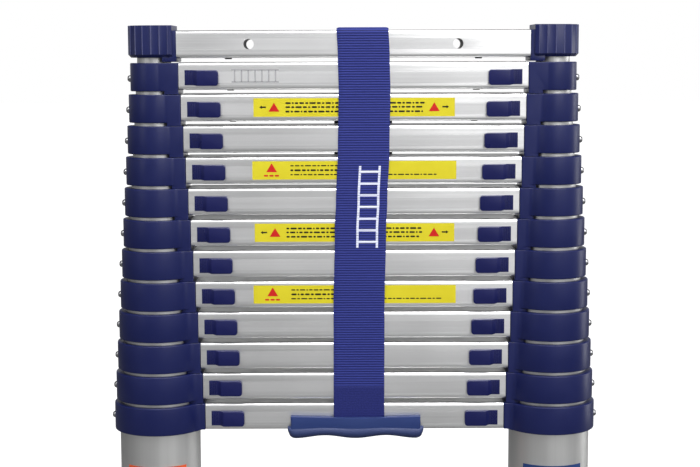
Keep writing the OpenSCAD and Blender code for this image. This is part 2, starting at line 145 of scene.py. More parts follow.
def choose(obj, kind, test):
    """Opens obj in edit mode with the vertices, edges or faces that pass the test selected."""
    only(obj)
    bpy.ops.object.mode_set(mode="EDIT")
    bpy.ops.mesh.select_mode(type=kind)
    bpy.ops.mesh.select_all(action="DESELECT")
    mesh = bmesh.from_edit_mesh(obj.data)
    parts = {"VERT": mesh.verts, "EDGE": mesh.edges, "FACE": mesh.faces}[kind]
    for part in parts:
        if test(part):
            part.select_set(True)
    mesh.select_flush_mode()
    bmesh.update_edit_mesh(obj.data)


def leave(obj):
    bpy.ops.object.mode_set(mode="OBJECT")
    return obj


def block(name, low, high):
    """A box between two corners."""
    low, high = Vector(low), Vector(high)
    bpy.ops.object.select_all(action="DESELECT")
    bpy.ops.mesh.primitive_cube_add(size=1, location=(low + high) / 2)
    obj = bpy.context.active_object
    obj.name = name
    obj.scale = high - low
    settle(obj)
    return obj


def drum(name, radius, start, end, sides=96, ends="NGON"):
    """A round bar from one point to another."""
    start, end = Vector(start), Vector(end)
    bpy.ops.object.select_all(action="DESELECT")
    bpy.ops.mesh.primitive_cylinder_add(
        vertices=sides, radius=radius, depth=(end - start).length,
        location=(start + end) / 2, end_fill_type=ends,
        rotation=(end - start).to_track_quat("Z", "Y").to_euler())
    obj = bpy.context.active_object
    obj.name = name
    settle(obj)
    return obj


def plate(name, outline, low, high):
    """A plate of any outline in X and Y, given anticlockwise, from one height to another."""
    bpy.ops.object.select_all(action="DESELECT")
    bpy.ops.mesh.primitive_circle_add(vertices=len(outline), fill_type="NGON")
    obj = bpy.context.active_object
    obj.name = name
    for vertex, (x, y) in zip(obj.data.vertices, outline):
        vertex.co = (x, y, low)
    if obj.data.polygons[0].normal.z > 0:
        obj.data.flip_normals()
    choose(obj, "FACE", lambda face: True)
    bpy.ops.mesh.extrude_region_move(TRANSFORM_OT_translate={"value": (0, 0, high - low)})
    bpy.ops.mesh.select_all(action="SELECT")
    bpy.ops.mesh.normals_make_consistent(inside=False)
    return leave(obj)


def apply_modifier(obj, kind, **values):
    only(obj)
    modifier = obj.modifiers.new(kind.lower(), kind)
    for key, value in values.items():
        setattr(modifier, key, value)
    bpy.ops.object.modifier_apply(modifier=modifier.name)
    return obj


def cut(obj, tool, operation="DIFFERENCE"):
    """Cuts a tool out of obj, or joins it on, and removes the tool."""
    apply_modifier(obj, "BOOLEAN", operation=operation, solver="EXACT", object=tool)
    bpy.data.objects.remove(tool)
    return obj


def weld(obj, tool):
    return cut(obj, tool, "UNION")


def join(name, objects):
    """Several objects as one, each keeping its own shells and materials."""
    bpy.ops.object.select_all(action="DESELECT")
    for obj in objects:
        obj.select_set(True)
    bpy.context.view_layer.objects.active = objects[0]
    bpy.ops.object.join()
    objects[0].name = name
    return objects[0]


def round_edges(obj, test, width, segments=3):
    """Rounds the edges of obj that pass the test."""
    choose(obj, "EDGE", test)
    bpy.ops.mesh.bevel(offset=width, segments=segments, affect="EDGES", clamp_overlap=True)
    return leave(obj)


def round_rim(obj, z, width, segments):
    """Rounds the level edges of obj at height z."""
    return round_edges(obj, lambda edge: abs(span(edge).z) < TINY
        and abs(centre(edge).z - z) < TINY, width, segments)


def soften(obj, width, segments=2, angle=35):
    """Rounds every edge that is sharper than the angle."""
    return apply_modifier(obj, "BEVEL", width=width, segments=segments,
        limit_method="ANGLE", angle_limit=math.radians(angle))


def shade(obj, angle=35):
    only(obj)
    bpy.ops.object.shade_smooth_by_angle(angle=math.radians(angle))
    return obj


def twin(obj, name, shift=(0, 0, 0), mirror=False):
    """A copy with its own mesh, moved, and then mirrored to the left if asked."""
    copy = obj.copy()
    copy.data = obj.data.copy()
    copy.name = name
    bpy.context.collection.objects.link(copy)
    copy.data.transform(Matrix.Translation(Vector(shift)))
    if mirror:
        copy.data.transform(Matrix.Scale(-1, 4, (1, 0, 0)))
        copy.data.flip_normals()
    return copy


def sides():
    return (("right", False), ("left", True))


def span(edge):
    return edge.verts[1].co - edge.verts[0].co


def centre(part):
    return sum((v.co for v in part.verts), Vector()) / len(part.verts)


# ---------------------------------------------------------------- material parts

def node(tree, kind, **values):
    """A shader node with its settings, and its inputs by name."""
    made = tree.nodes.new(kind)
    for key, value in values.items():
        if key.startswith("in_"):
            made.inputs[int(key[3:])].default_value = value
        else:
            setattr(made, key, value)
    return made


def feed(tree, made, *values):
    """Sets a node's inputs in order, each from a socket or to a value; None leaves one alone."""
    for socket, value in zip(made.inputs, values):
        if isinstance(value, bpy.types.NodeSocket):
            tree.links.new(value, socket)
        elif value is not None:
            socket.default_value = value
    return made.outputs[0] if made.outputs else made


def calc(tree, operation, *values, **settings):
    return feed(tree, node(tree, "ShaderNodeMath", operation=operation, **settings), *values)


def remap(tree, value, low, high, to_low=0.0, to_high=1.0):
    return feed(tree, node(tree, "ShaderNodeMapRange"), value, low, high, to_low, to_high)


def noise(tree, vector, scale, detail):
    return feed(tree, node(tree, "ShaderNodeTexNoise"), vector, None, scale, detail)


def group(name, inputs):
    """A shader node group with named inputs, that gives a shade, a roughness and a height."""
    tree = bpy.data.node_groups.new(name, "ShaderNodeTree")
    tree.interface.new_socket("Place", in_out="INPUT", socket_type="NodeSocketVector")
    for label, kind, value in inputs:
        socket = tree.interface.new_socket(label, in_out="INPUT", socket_type=kind)
        socket.default_value = value
    for label in ("Shade", "Roughness", "Height"):
        tree.interface.new_socket(label, in_out="OUTPUT", socket_type="NodeSocketFloat")
    return tree, tree.nodes.new("NodeGroupInput").outputs, tree.nodes.new("NodeGroupOutput")


def drawn_lines():
    """Fine lines and patches that an extrusion keeps, along the axis that Stretch leaves short."""
    tree, given, end = group("drawn_lines", [
        ("Stretch", "NodeSocketVector", (1, 1, 1)), ("Rough low", "NodeSocketFloat", 0.25),
        ("Rough high", "NodeSocketFloat", 0.4)])
    scaled = feed(tree, node(tree, "ShaderNodeVectorMath", operation="MULTIPLY"),
        given["Place"], given["Stretch"])
    broad = calc(tree, "MULTIPLY", noise(tree, scaled, 160.0, 2.0), 0.5)
    lines = calc(tree, "MULTIPLY_ADD", noise(tree, scaled, 900.0, 3.0), 0.5, broad)
    half = calc(tree, "MULTIPLY", lines, 0.5)
    blend = calc(tree, "MULTIPLY_ADD", noise(tree, given["Place"], 9.0, 3.0), 0.5, half)
    rough = remap(tree, blend, 0.3, 0.7, given["Rough low"], given["Rough high"])
    feed(tree, end, blend, rough, lines)
    return tree


def moulded_skin():
    """The fine grain of a moulded surface, with slightly paler worn patches."""
    tree, given, end = group("moulded_skin", [
        ("Grain", "NodeSocketFloat", 2200.0), ("Patches", "NodeSocketFloat", 25.0),
        ("Rough low", "NodeSocketFloat", 0.35), ("Rough high", "NodeSocketFloat", 0.5)])
    grain = noise(tree, given["Place"], given["Grain"], 3.0)
    patches = noise(tree, given["Place"], given["Patches"], 4.0)
    rough = remap(tree, patches, 0.35, 0.65, given["Rough low"], given["Rough high"])
    feed(tree, end, patches, rough, grain)
    return tree


DRAWN_LINES = drawn_lines()
MOULDED_SKIN = moulded_skin()


def new_material(name):
    """A material with only its Principled shader, and a way to add nodes."""
    made = bpy.data.materials.new(name)
    made.use_nodes = True
    tree = made.node_tree
    return made, tree, tree.nodes["Principled BSDF"]


def place(tree):
    return tree.nodes.new("ShaderNodeTexCoord").outputs["Object"]


def two_tone(tree, shader, mask, dark, pale):
    """Base colour between two tones of a mask."""
    mix = node(tree, "ShaderNodeMix", data_type="RGBA")
    tree.links.new(mask, mix.inputs["Factor"])
    mix.inputs["A"].default_value = (*dark, 1)
    mix.inputs["B"].default_value = (*pale, 1)
    tree.links.new(mix.outputs["Result"], shader.inputs["Base Color"])


def raised(tree, shader, height, distance, strength=1.0):
    bump = node(tree, "ShaderNodeBump")
    bump.inputs["Strength"].default_value = strength
    bump.inputs["Distance"].default_value = distance
    tree.links.new(height, bump.inputs["Height"])
    tree.links.new(bump.outputs["Normal"], shader.inputs["Normal"])


def use(tree, shader, shared, **values):
    """Places a shared group in a material and joins its roughness to the shader."""
    made = tree.nodes.new("ShaderNodeGroup")
    made.node_tree = shared
    tree.links.new(place(tree), made.inputs["Place"])
    for label, value in values.items():
        made.inputs[label.replace("_", " ")].default_value = value
    tree.links.new(made.outputs["Roughness"], shader.inputs["Roughness"])
    return made


def aluminium(name, stretch, dark, pale, rough):
    """Satin anodised extrusion, its lines along the axis with the small stretch."""
    made, tree, shader = new_material(name)
    shader.inputs["Metallic"].default_value = 1.0
    lines = use(tree, shader, DRAWN_LINES, Stretch=stretch, Rough_low=rough[0], Rough_high=rough[1])
    two_tone(tree, shader, lines.outputs["Shade"], dark, pale)
    raised(tree, shader, lines.outputs["Height"], 0.00003)
    return made


def nylon(name, dark, pale, rough=(0.34, 0.46), grain=2200.0, depth=0.00002):
    """Moulded plastic with a fine skin."""
    made, tree, shader = new_material(name)
    shader.inputs["Specular IOR Level"].default_value = 0.3
    skin = use(tree, shader, MOULDED_SKIN, Grain=grain, Rough_low=rough[0], Rough_high=rough[1])
    two_tone(tree, shader, skin.outputs["Shade"], dark, pale)
    raised(tree, shader, skin.outputs["Height"], depth)
    return made


def speckled_sheen_grip():
    """Coarsely textured grip; its pale grains show only where the surface turns away from the view, a painted
    sheen on the grain.
    """
    made, tree, shader = new_material("grip_texture_and_painted_sheen")
    skin = use(tree, shader, MOULDED_SKIN, Grain=900.0, Rough_low=0.5, Rough_high=0.65)
    grains = remap(tree, noise(tree, place(tree), 1100.0, 2.0), 0.52, 0.62)
    facing = node(tree, "ShaderNodeLayerWeight", in_0=0.35).outputs["Facing"]
    # Painted sheen: the grain is real, but it is paler only toward the silhouette, where the surface turns away
    # from the view.
    grains_and_painted_sheen = calc(tree, "MULTIPLY", grains, remap(tree, facing, 0.45, 0.8))
    two_tone(tree, shader, grains_and_painted_sheen, (0.012, 0.025, 0.10), (0.34, 0.34, 0.40))
    raised(tree, shader, skin.outputs["Height"], 0.0004)
    return made


def plated_steel():
    made, tree, shader = new_material("plated_steel")
    shader.inputs["Metallic"].default_value = 1.0
    skin = use(tree, shader, MOULDED_SKIN, Grain=900.0, Rough_low=0.12, Rough_high=0.28)
    two_tone(tree, shader, skin.outputs["Shade"], (0.20, 0.20, 0.205), (0.42, 0.42, 0.43))
    raised(tree, shader, skin.outputs["Height"], 0.000005)
    return made


def sticker(name, dark, pale):
    """Printed vinyl, a little glossy."""
    made, tree, shader = new_material(name)
    shader.inputs["Specular IOR Level"].default_value = 0.25
    skin = use(tree, shader, MOULDED_SKIN, Grain=700.0, Patches=60.0, Rough_low=0.38,
        Rough_high=0.5)
    two_tone(tree, shader, skin.outputs["Shade"], dark, pale)
    raised(tree, shader, skin.outputs["Height"], 0.00001)
    return made


def webbing_cloth(name, dark, pale, soft):
    """Woven nylon with random fuzz: pale on the rib crests and dark between the ribs, a painted highlight and
    painted shade over the modelled ribs. UV is in metres.
    """
    made, tree, shader = new_material(name)
    for label, value in (("Specular IOR Level", 0.2), ("Sheen Weight", 0.1),
            ("Sheen Roughness", 0.4), ("Roughness", 0.62)):
        shader.inputs[label].default_value = value
    uv = node(tree, "ShaderNodeUVMap", uv_map="weave").outputs[0]
    apart = node(tree, "ShaderNodeSeparateXYZ")
    feed(tree, apart, uv)
    threads = feed(tree, node(tree, "ShaderNodeMapping"), uv, None, None,
        (700, 700, 1) if soft else (2600, 420, 1))
    fuzz = noise(tree, threads, 1.0, 2.0)
    wave = calc(tree, "SINE", calc(tree, "MULTIPLY", apart.outputs[1], math.pi / RIB_PITCH))
    shape = remap(tree, calc(tree, "ABSOLUTE", wave), 0.25, 1.0)
    # Painted shade in the grooves between ribs and a painted highlight on the crests, following the modelled ribs.
    ribs = calc(tree, "MULTIPLY", shape, 0.15 if soft else 0.75)
    fuzz_and_rib_shading = calc(tree, "MULTIPLY_ADD", fuzz, 0.9 if soft else 0.45, ribs)
    two_tone(tree, shader, calc(tree, "SUBTRACT", fuzz_and_rib_shading, 0.12, use_clamp=True), dark, pale)
    raised(tree, shader, fuzz, 0.00025 if soft else 0.00012, 0.8)
    return made


RIB_PITCH = 2.45 * MM
RUNG_METAL = aluminium("rung_aluminium", (0.004, 1, 1), (0.70, 0.70, 0.695), (0.96, 0.96, 0.955),
    (0.27, 0.38))
TUBE_METAL = aluminium("tube_aluminium", (1, 1, 0.004), (0.50, 0.50, 0.49), (0.68, 0.68, 0.67),
    (0.40, 0.50))
COLLAR_NYLON = nylon("collar_nylon", (0.003, 0.006, 0.050), (0.006, 0.010, 0.070), (0.3, 0.4))
# A paler nylon for the cap's fine beads: a painted highlight along each bead.
BEAD_HIGHLIGHT_NYLON = nylon("bead_painted_highlight", (0.05, 0.055, 0.13), (0.07, 0.075, 0.16), (0.3, 0.4))
BUTTON_NYLON = nylon("button_nylon", (0.003, 0.005, 0.050), (0.006, 0.008, 0.072), (0.26, 0.36))
GRIP_PLASTIC = nylon("grip_plastic", (0.010, 0.024, 0.105), (0.016, 0.034, 0.135), (0.42, 0.55))
GRIP_TEXTURE_AND_SHEEN = speckled_sheen_grip()
BLACK_PLASTIC = nylon("black_plastic", (0.011, 0.011, 0.012), (0.02, 0.02, 0.022))
PLUG_PLASTIC = nylon("plug_plastic", (0.02, 0.02, 0.022), (0.035, 0.035, 0.038), (0.45, 0.6))
BOOT_RUBBER = nylon("boot_rubber", (0.012, 0.012, 0.013), (0.028, 0.028, 0.03), (0.6, 0.8),
    1500.0, 0.00006)
SCREW_STEEL = plated_steel()
DARK_STEEL = nylon("dark_screw", (0.02, 0.02, 0.022), (0.05, 0.05, 0.052), (0.3, 0.45))
STRAP_CLOTH = webbing_cloth("strap_cloth", (0.002, 0.004, 0.055), (0.03, 0.042, 0.24), False)
PATCH_CLOTH = webbing_cloth("patch_cloth", (0.005, 0.008, 0.07), (0.02, 0.027, 0.17), True)
YELLOW_VINYL = sticker("yellow_vinyl", (0.50, 0.42, 0.012), (0.60, 0.53, 0.02))
RED_INK = sticker("red_ink", (0.42, 0.008, 0.006), (0.52, 0.014, 0.01))
BLACK_INK = sticker("black_ink", (0.004, 0.004, 0.002), (0.012, 0.011, 0.005))
GREY_INK = sticker("grey_ink", (0.26, 0.26, 0.27), (0.34, 0.34, 0.35))
WHITE_INK = sticker("white_ink", (0.50, 0.52, 0.66), (0.66, 0.68, 0.80))
ORANGE_VINYL = sticker("orange_vinyl", (0.55, 0.07, 0.02), (0.68, 0.10, 0.03))
BLUE_VINYL = sticker("blue_vinyl", (0.012, 0.03, 0.12), (0.02, 0.05, 0.17))


def give(obj, material, body, slot, *replaced):
    """Sets a piece's material, the CAD body that it rides on and the nodes that it stands for."""
    if material is not None:
        obj.data.materials.clear()
        obj.data.materials.append(material)
    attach(obj, body)
    if replaced:
        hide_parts(*replaced)
    return obj


def section(k):
    return "section_" + tag(k)


# ---------------------------------------------------------------- camera and light

def camera():
    """Level with the underside of the top rung, in front of the tubes and tilted down."""
    distance, sideways = 1.5, -3.9 * MM
    tilt, roll = math.radians(6.61), math.radians(-0.19)
    data = bpy.data.cameras.new("camera")
    data.sensor_width = 36
    data.lens = 78.3
    made = bpy.data.objects.new("camera", data)
    bpy.context.collection.objects.link(made)
    made.matrix_world = (
        Matrix.Translation((sideways, -distance, top_low.z + 0.0005))
        @ Matrix.Rotation(math.pi / 2 - tilt, 4, "X")
        @ Matrix.Rotation(roll, 4, "Z"))
    bpy.context.scene.camera = made


def lamp(name, spot, aim, size, power):
    data = bpy.data.lights.new(name, "AREA")
    data.shape = "RECTANGLE"
    data.size, data.size_y = size
    data.energy = power
    made = bpy.data.objects.new(name, data)
    bpy.context.collection.objects.link(made)
    made.location = spot
    made.rotation_euler = (Vector(aim) - Vector(spot)).to_track_quat("-Z", "Y").to_euler()


def surroundings():
    """White to look at; in reflections, a room that is brighter above and to the right."""
    world = bpy.data.worlds.new("studio")
    bpy.context.scene.world = world
    world.use_nodes = True
    tree = world.node_tree
    tree.nodes.clear()
    apart = node(tree, "ShaderNodeSeparateXYZ")
    feed(tree, apart, node(tree, "ShaderNodeTexCoord").outputs["Generated"])
    x, y, z = apart.outputs
    ramp = node(tree, "ShaderNodeValToRGB")
    stops = ramp.color_ramp.elements
    stops[0].position, stops[0].color = 0.30, (0.06, 0.06, 0.065, 1)
    stops[1].position, stops[1].color = 0.62, (0.80, 0.81, 0.83, 1)
    for position, tone in ((0.42, 0.38), (0.47, 0.56), (0.52, 0.66)):
        stops.new(position).color = (tone, tone, tone * 1.02, 1)
    colour = feed(tree, ramp, remap(tree, z, -1.0, 1.0))
    tilt = remap(tree, x, -0.35, 0.35, 0.75, 1.35)
    shaded = calc(tree, "MULTIPLY", remap(tree, y, -0.1, 0.3), remap(tree, z, 0.04, 0.25))
    kept = calc(tree, "MULTIPLY_ADD", shaded, -0.85, 1.0)
    room = feed(tree, node(tree, "ShaderNodeBackground"), colour,
        calc(tree, "MULTIPLY", kept, tilt))
    white = node(tree, "ShaderNodeBackground", in_0=(1, 1, 1, 1), in_1=1.0).outputs[0]
    seen = node(tree, "ShaderNodeLightPath").outputs["Is Camera Ray"]
    shown = feed(tree, node(tree, "ShaderNodeMixShader"), seen, room, white)
    feed(tree, node(tree, "ShaderNodeOutputWorld"), shown)


def stage():
    """A floor that is white to the camera and grey in reflections."""
    bpy.ops.object.select_all(action="DESELECT")
    bpy.ops.mesh.primitive_plane_add(size=30, location=(0, 12, 0))
    floor = bpy.context.active_object
    floor.name = "studio_floor"
    made, tree, shader = new_material("studio_floor")
    shader.inputs["Base Color"].default_value = (0.22, 0.22, 0.22, 1)
    shader.inputs["Roughness"].default_value = 0.9
    shader.inputs["Specular IOR Level"].default_value = 0.1
    shader.inputs["Emission Color"].default_value = (1, 1, 1, 1)
    seen = node(tree, "ShaderNodeLightPath").outputs["Is Camera Ray"]
    tree.links.new(seen, shader.inputs["Emission Strength"])
    floor.data.materials.append(made)


bpy.context.scene.view_settings.view_transform = "Standard"
camera()
surroundings()
stage()
lamp("key_softbox", (1.7, -2.3, 1.9), (0, 0, 0.6), (1.4, 1.2), 22)
lamp("right_card", (0.85, -2.6, 1.3), (0.1, 0, 0.8), (0.7, 0.7), 3.5)
lamp("left_softbox", (-2.2, -1.9, 1.5), (0, 0, 0.6), (1.0, 1.6), 7)
lamp("top_softbox", (0.2, -1.0, 2.5), (0, 0, 0.6), (2.4, 1.0), 60)
lamp("rear_softbox", (0, 2.6, 0.5), (0, 0, 0.6), (2.6, 0.5), 5)
lamp("right_rim", (2.2, 0.7, 0.6), (0.2, 0, 0.5), (0.6, 1.2), 8)

# ---------------------------------------------------------------- rungs

def rung(k):
    """A hollow extrusion with round edges, grip grooves, drawn lines, and slots or holes."""
    end, top, middle = rung_end(k), rung_top(k), rung_middle(k)
    obj = block("rung_" + tag(k), (-end, FRONT, top - RUNG_HEIGHT), (end, -FRONT, top))
    choose(obj, "FACE", lambda face: abs(face.normal.x) > 0.9)
    bpy.ops.mesh.delete(type="FACE")
    leave(obj)
    round_edges(obj, lambda edge: abs(span(edge).x) > end, RUNG_EDGE, 6)
    apply_modifier(obj, "SOLIDIFY", thickness=RUNG_WALL, offset=-1, use_even_offset=True)
    round_edges(obj, lambda edge: abs(centre(edge).x) > end - TINY
        and (abs(centre(edge).y) > 0.94 * -FRONT
            or abs(centre(edge).z - middle) > 0.46 * RUNG_HEIGHT), 0.6 * MM, 2)
    groove_pitch, groove_width, groove_depth = 3.2 * MM, 1.2 * MM, 0.6 * MM
    combs = [block("groove", (-2 * end, i * groove_pitch - groove_width / 2, top - groove_depth),
        (2 * end, i * groove_pitch + groove_width / 2, top + MM)) for i in range(-5, 6)]
    line_heights = [-8.2, -5.1, -2.9, 0.4, 1.9, 4.3, 7.6, 8.9]
    for side in (-1, 1):
        for height in line_heights:
            z = middle + height * MM
            combs.append(block("line", (-2 * end, side * -FRONT - 0.1 * MM, z - 0.2 * MM),
                (2 * end, side * -FRONT + 0.1 * MM, z + 0.2 * MM)))
    cut(obj, join("comb", combs))
    if k == 1:
        for side in (-1, 1):
            x = side * HANGING_HOLE_X
            cut(obj, drum("hole", HANGING_HOLE_R, (x, 2 * FRONT, middle), (x, -2 * FRONT, middle),
                48))
    else:
        z = pin_height(k)
        for side in (-1, 1):
            outer = side * (end - BUTTON_INSET - STEM_INSET + GUIDE_GAP)
            inner = side * (end - BUTTON_INSET - STEM_INSET - STEM_LENGTH - BUTTON_TRAVEL)
            cut(obj, block("slot", (min(outer, inner), FRONT - MM, z - STEM_HEIGHT / 2 - GUIDE_GAP),
                (max(outer, inner), FRONT + RUNG_WALL + MM, z + STEM_HEIGHT / 2 + GUIDE_GAP)))
    return shade(obj, 30)


def tubes(k):
    """A pair of tubes with holes for the locking pins."""
    top = top_high.z - LIP_HEIGHT - (k - 1) * PITCH
    low = outer_low.z if k == SECTIONS else thin_low.z - (k - 1) * PITCH
    obj = drum("tubes_" + tag(k), tube_r(k), (AXIS, 0, low), (AXIS, 0, top), 96, "NOTHING")
    apply_modifier(obj, "SOLIDIFY", thickness=TUBE_WALL, offset=-1, use_even_offset=True)
    holes = []
    if k > 1:
        holes.append(pin_height(k))
    if k < SECTIONS:
        holes.append(pin_height(k + 1) - TRAVEL)
    for z in holes:
        cut(obj, drum("hole", LOCK_HOLE_R, (AXIS - 1.5 * tube_r(k), 0, z), (AXIS, 0, z), 32))
    shade(obj, 30)
    return join(obj.name, [obj, twin(obj, "left", mirror=True)])


for k in range(1, SECTIONS + 1):
    rung_node, tube_node = "rung_and_tubes_" + tag(k), "rung_and_tubes_" + tag(k)
    if k == 1:
        rung_node, tube_node = "rung_01", "tubes_01"
    if k == SECTIONS:
        rung_node, tube_node = "bottom_rung", "outer_tubes"
    give(rung(k), RUNG_METAL, section(k), "aluminium", rung_node)
    give(tubes(k), TUBE_METAL, section(k), "aluminium", tube_node)

# ---------------------------------------------------------------- collars and caps

def arc(x, y, radius, start, end, steps):
    """Points along an arc, angles in radians."""
    return [(x + radius * math.cos(start + (end - start) * i / steps),
             y + radius * math.sin(start + (end - start) * i / steps)) for i in range(steps + 1)]


def collar_outline(k):
    """The collar seen from above: a ring that flows into a flat boss towards the rung, at -X."""
    radius, half = collar_r(k), -FRONT
    face = -(tube_r(k) + BOSS_REACH - BOSS_GAP)
    across = -math.sqrt((radius + BOSS_FILLET) ** 2 - (half + BOSS_FILLET) ** 2)
    tangent = math.atan2(half + BOSS_FILLET, -across)
    low_fillet = arc(across, -half - BOSS_FILLET, BOSS_FILLET, math.pi / 2, tangent, 6)
    start = math.atan2(-half - BOSS_FILLET, across)
    ring = arc(0, 0, radius, start, -start, 64)[1:-1]
    high_fillet = [(x, -y) for x, y in reversed(low_fillet)]
    return [(face, -half)] + low_fillet + ring + high_fillet + [(face, half)]


def collar(k):
    """One right-hand collar, with its lip, its foot and the bore for its tubes."""
    top, low = rung_top(k) - 0.6 * MM, rung_top(k) - COLLAR_HEIGHT
    face = -(tube_r(k) + BOSS_REACH - BOSS_GAP)
    obj = plate("collar", collar_outline(k), low, top)
    round_edges(obj, lambda edge: abs(span(edge).z) > COLLAR_HEIGHT / 2
        and centre(edge).x < face + 0.1 * MM, 1.0 * MM, 3)
    round_rim(obj, top, 1.3 * MM, 4)
    round_rim(obj, low, 2.2 * MM, 4)
    rise, start = COLLAR_HEIGHT - RUNG_HEIGHT, 2 * MM - tube_r(k)
    wedge = plate("wedge", [(face - MM, -MM), (start, -MM), (start, 0), (face + 3 * MM, rise),
        (face - MM, rise)], -CAP_R, CAP_R)
    wedge.data.transform(Matrix.Translation((0, 0, low)) @ Matrix.Rotation(math.pi / 2, 4, "X"))
    cut(obj, wedge)
    if k < SECTIONS:
        foot = block("foot", (face, FRONT, top - PITCH + REST_GAP),
            (face + FOOT_REACH, -FRONT, low + 6 * MM))
        round_edges(foot, lambda edge: abs(span(edge).z) > MM, 1.2 * MM, 3)
        weld(obj, foot)
    cut(obj, drum("bore", tube_r(k) + 0.05 * MM, (0, 0, low - PITCH), (0, 0, top - LIP_HEIGHT)))
    cut(obj, drum("lip", tube_r(k - 1) + GUIDE_GAP, (0, 0, low), (0, 0, top + MM)))
    obj.data.transform(Matrix.Translation((AXIS, 0, 0)))
    return shade(obj, 40)


def cap_outline():
    """Half a circle with straight sides, as shallow hollows with a fine bead between each two."""
    half = ((0.0, 0.0), (0.035, 0.12), (0.06, 0.5), (0.12, 0.65), (0.3, 0.82), (0.5, 0.9))
    flute = half + tuple((1 - share, depth) for share, depth in half[-2:0:-1])
    reach = tube_r(1) + BOSS_REACH - CAP_FLANGE
    pitch = 8.2 * MM
    straight = [(pitch * (i + share), CAP_R - depth * MM) for i in range(2)
        for share, depth in flute]
    straight = [(x, y) for x, y in straight + [(2 * pitch, CAP_R)] if x > 0]
    straight += [(reach, CAP_R - 0.9 * MM)]
    ring = []
    for i in range(FLUTES // 2):
        for share, depth in flute:
            angle = math.pi * (i + share) / (FLUTES // 2) - math.pi / 2
            ring.append(((CAP_R - depth * MM) * math.cos(angle),
                (CAP_R - depth * MM) * math.sin(angle)))
    ring.append((0, CAP_R))
    return ([(-x, -y) for x, y in reversed(straight)] + ring + [(-x, y) for x, y in straight])


def cap():
    """The right-hand top cap: fluted, flat on top, chamfered below, with a flange and a foot."""
    chamfer = 3 * MM
    top, low = CAP_TOP, rung_top(1) - CAP_SKIRT
    face = -(tube_r(1) + BOSS_REACH)
    obj = plate("cap", cap_outline(), low, top)
    round_rim(obj, top, 0.3 * MM, 2)
    choose(obj, "FACE", lambda face: face.normal.z < -0.9)
    bpy.ops.mesh.extrude_region_move()
    leave(obj)
    for vertex in obj.data.vertices:
        if vertex.select:
            vertex.co.x *= 1 - (chamfer / CAP_R if vertex.co.x > 0 else 0)
            vertex.co.y *= 1 - chamfer / CAP_R
        elif vertex.co.z < low + MM:
            vertex.co.z += chamfer
    flange = block("flange", (face, FRONT, rung_top(1) - RUNG_HEIGHT),
        (face + CAP_FLANGE + MM, -FRONT, rung_top(1)))
    weld(obj, soften(flange, 0.5 * MM, 2))
    foot = block("foot", (face, FRONT, rung_top(2) + REST_GAP),
        (face + FOOT_REACH, -FRONT, low + MM))
    weld(obj, soften(foot, 0.6 * MM, 2))
    cut(obj, drum("bore", tube_r(1) + 0.05 * MM, (0, 0, low - PITCH),
        (0, 0, rung_top(1) - LIP_HEIGHT)))
    obj.data.materials.append(COLLAR_NYLON)
    obj.data.materials.append(BEAD_HIGHLIGHT_NYLON)
    # Faces on the fine beads take the paler nylon, a painted highlight along each bead.
    for polygon in obj.data.polygons:
        x, y, z = polygon.center
        out = math.hypot(x, y) if x > 0 else abs(y)
        if out > CAP_R - 0.35 * MM and abs(polygon.normal.z) < 0.5:
            polygon.material_index = 1
    obj.data.transform(Matrix.Translation((AXIS, 0, 0)))
    return shade(obj, 24)


def pair(obj, name):
    """A right-hand piece and its mirror image, as one piece."""
    return join(name, [obj, twin(obj, "left", mirror=True)])


give(pair(cap(), "top_caps_fluted"), None, section(1), "collar_plastic", "top_caps")
for k in range(2, SECTIONS + 1):
    replaced = "bottom_collars" if k == SECTIONS else "collars_" + tag(k)
    give(pair(collar(k), "collar_pair_" + tag(k)), COLLAR_NYLON, section(k), "collar_plastic",
        replaced)

plug_low, plug_high = (Vector(corner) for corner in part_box("tube_plugs_01"))


def plug(k):
    """The plug in the lower end of a tube: a round-edged base with a hollow spigot."""
    drop = (k - 1) * PITCH
    rim = tube_r(k) + plug_high.y - TOP_TUBE_R
    spigot_r = tube_r(k) - TUBE_WALL - 0.05 * MM
    low = plug_low.z - drop
    obj = drum("plug", rim, (AXIS, 0, low), (AXIS, 0, thin_low.z - drop), 64)
    round_rim(obj, low, 0.9 * MM, 3)
    weld(obj, drum("spigot", spigot_r, (AXIS, 0, low + MM), (AXIS, 0, plug_high.z - drop), 64))
    cut(obj, drum("hollow", spigot_r - 2 * MM, (AXIS, 0, low + 2.5 * MM),
        (AXIS, 0, plug_high.z), 64))
    return shade(obj, 35)


for k in range(2, SECTIONS):
    give(pair(plug(k), "tube_plugs_" + tag(k)), PLUG_PLASTIC, section(k), "plug_plastic")

# ---------------------------------------------------------------- screws

def cross_slot(obj, spot, along, width, length, depth):
    """Cuts a cross recess into a head that faces along an axis, 0 for X and 2 for Z."""
    for turn in (0, 1):
        low, high = Vector(spot), Vector(spot)
        for axis in range(3):
            if axis == along:
                reach = depth
            elif (axis == (along + 1) % 3) == bool(turn):
                reach = length / 2
            else:
                reach = width / 2
            low[axis] -= reach
            high[axis] += reach
        cut(obj, block("recess", low, high))
    return obj


def dome_screw():
    """A dome head, facing +X, with its seat at the origin."""
    head_r, head_h = 3.3 * MM, 3.2 * MM
    head = drum("dome_screw", head_r, (0.05 * MM, 0, 0), (head_h, 0, 0), 32)
    round_edges(head, lambda edge: centre(edge).x > head_h - TINY
        and abs(span(edge).x) < TINY, 2.5 * MM, 6)
    cross_slot(head, (head_h, 0, 0), 0, 0.7 * MM, 3.2 * MM, 0.9 * MM)
    return shade(head, 40)


def rung_screw():
    """A low round head under a rung, facing down, with its seat at the origin."""
    face = -1.2 * MM
    head = drum("rung_screw", 3.5 * MM, (0, 0, face), (0, 0, 0), 32)
    round_rim(head, face, 0.7 * MM, 3)
    cross_slot(head, (0, 0, face), 2, 0.8 * MM, 3.6 * MM, 0.7 * MM)
    return shade(head, 40)


